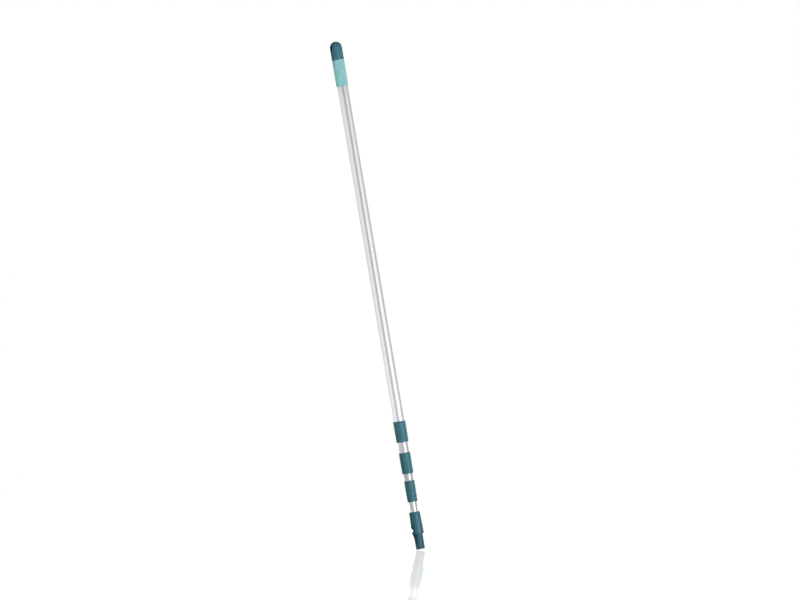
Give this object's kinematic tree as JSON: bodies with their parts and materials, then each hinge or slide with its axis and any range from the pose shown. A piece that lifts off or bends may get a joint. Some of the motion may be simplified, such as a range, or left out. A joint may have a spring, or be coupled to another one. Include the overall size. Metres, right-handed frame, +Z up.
{
  "type": "telescopic pole",
  "caption": "Telescopic aluminium pole of nested tubes with twist-lock collars, a soft grip, an end cap with a hanging hole and a snap-in plug for a net, brush or window tool.",
  "frame": {"origin": "centre of the lower end of the tool plug, on the pole's axis, with the pole closed", "axes": "+Z up the pole from the tool plug to the end cap, -X to the side of the latch, +Y completes the right-handed frame"},
  "size_m": [0.036, 0.036, 1.45],
  "materials": {
    "tube_metal": "drawn and clear anodised, satin",
    "petrol_plastic": "moulded polypropylene, satin",
    "nut_plastic": "moulded polypropylene, satin",
    "soft_grip": "soft moulded elastomer, matt",
    "nylon": "natural nylon",
    "steel": "bright zinc plated",
    "lacquered_rivet": "aluminium blind rivet, lacquered to match the plastic"
  },
  "bodies": {
    "outer": {"tube_1": "tube_metal", "end_cap": "petrol_plastic", "grip_sleeve": "soft_grip", "lock_body_1": "petrol_plastic", "lock_pins_1": "steel"},
    "clamp_1": {"collet_1": "nylon"},
    "nut_1": {"twist_nut_1": "nut_plastic"},
    "guide_2": {"guide_ring_2": "nylon"},
    "section_2": {"tube_2": "tube_metal", "tube_plug_2": "nylon", "plug_pin_2": "steel", "lock_body_2": "petrol_plastic", "lock_pins_2": "steel"},
    "clamp_2": {"collet_2": "nylon"},
    "nut_2": {"twist_nut_2": "nut_plastic"},
    "guide_3": {"guide_ring_3": "nylon"},
    "section_3": {"tube_3": "tube_metal", "tube_plug_3": "nylon", "plug_pin_3": "steel", "lock_body_3": "petrol_plastic", "lock_pins_3": "steel"},
    "clamp_3": {"collet_3": "nylon"},
    "nut_3": {"twist_nut_3": "nut_plastic"},
    "guide_4": {"guide_ring_4": "nylon"},
    "section_4": {"tube_4": "tube_metal", "tube_plug_4": "nylon", "plug_pin_4": "steel", "tool_adapter": "petrol_plastic", "adapter_rivets": "lacquered_rivet", "latch_spring": "steel"},
    "latch": {"latch_button": "nut_plastic"}
  },
  "joints": [
    {"name": "collar_1_unscrew", "type": "slide", "parent": "outer", "child": "clamp_1", "axis": [0, 0, -1], "range_m": [0, 0.002]},
    {"name": "collar_1_turn", "type": "hinge", "parent": "clamp_1", "child": "nut_1", "pos_m": [0, 0, 0.305], "axis": [0, 0, -1], "range_deg": [0, 180.5]},
    {"name": "collar_2_unscrew", "type": "slide", "parent": "section_2", "child": "clamp_2", "axis": [0, 0, -1], "range_m": [0, 0.002]},
    {"name": "collar_2_turn", "type": "hinge", "parent": "clamp_2", "child": "nut_2", "pos_m": [0, 0, 0.215], "axis": [0, 0, -1], "range_deg": [0, 180.5]},
    {"name": "collar_3_unscrew", "type": "slide", "parent": "section_3", "child": "clamp_3", "axis": [0, 0, -1], "range_m": [0, 0.002]},
    {"name": "collar_3_turn", "type": "hinge", "parent": "clamp_3", "child": "nut_3", "pos_m": [0, 0, 0.135], "axis": [0, 0, -1], "range_deg": [0, 180.5]},
    {"name": "tube_4_swivel", "type": "hinge", "parent": "section_4", "child": "guide_4", "pos_m": [0, 0, 0.053], "axis": [0, 0, 1], "continuous": true},
    {"name": "tube_4_slide", "type": "slide", "parent": "guide_4", "child": "section_3", "axis": [0, 0, 1], "range_m": [-0.026, 0.83]},
    {"name": "tube_3_swivel", "type": "hinge", "parent": "section_3", "child": "guide_3", "pos_m": [0, 0, 0.165], "axis": [0, 0, 1], "continuous": true},
    {"name": "tube_3_slide", "type": "slide", "parent": "guide_3", "child": "section_2", "axis": [0, 0, 1], "range_m": [-0.017, 0.85]},
    {"name": "tube_2_swivel", "type": "hinge", "parent": "section_2", "child": "guide_2", "pos_m": [0, 0, 0.245], "axis": [0, 0, 1], "continuous": true},
    {"name": "tube_2_slide", "type": "slide", "parent": "guide_2", "child": "outer", "axis": [0, 0, 1], "range_m": [-0.027, 0.87]},
    {"name": "latch_press", "type": "slide", "parent": "section_4", "child": "latch", "axis": [1, 0, 0], "range_m": [0, 0.004], "stiffness_N_per_m": 800, "springref_m": -0.003, "deforming": ["latch_spring"]}
  ],
  "couplings": [
    {"joint": "collar_1_turn", "follows": "collar_1_unscrew", "rad_per_m": 1570.8},
    {"joint": "collar_2_turn", "follows": "collar_2_unscrew", "rad_per_m": 1570.8},
    {"joint": "collar_3_turn", "follows": "collar_3_unscrew", "rad_per_m": 1570.8}
  ]
}
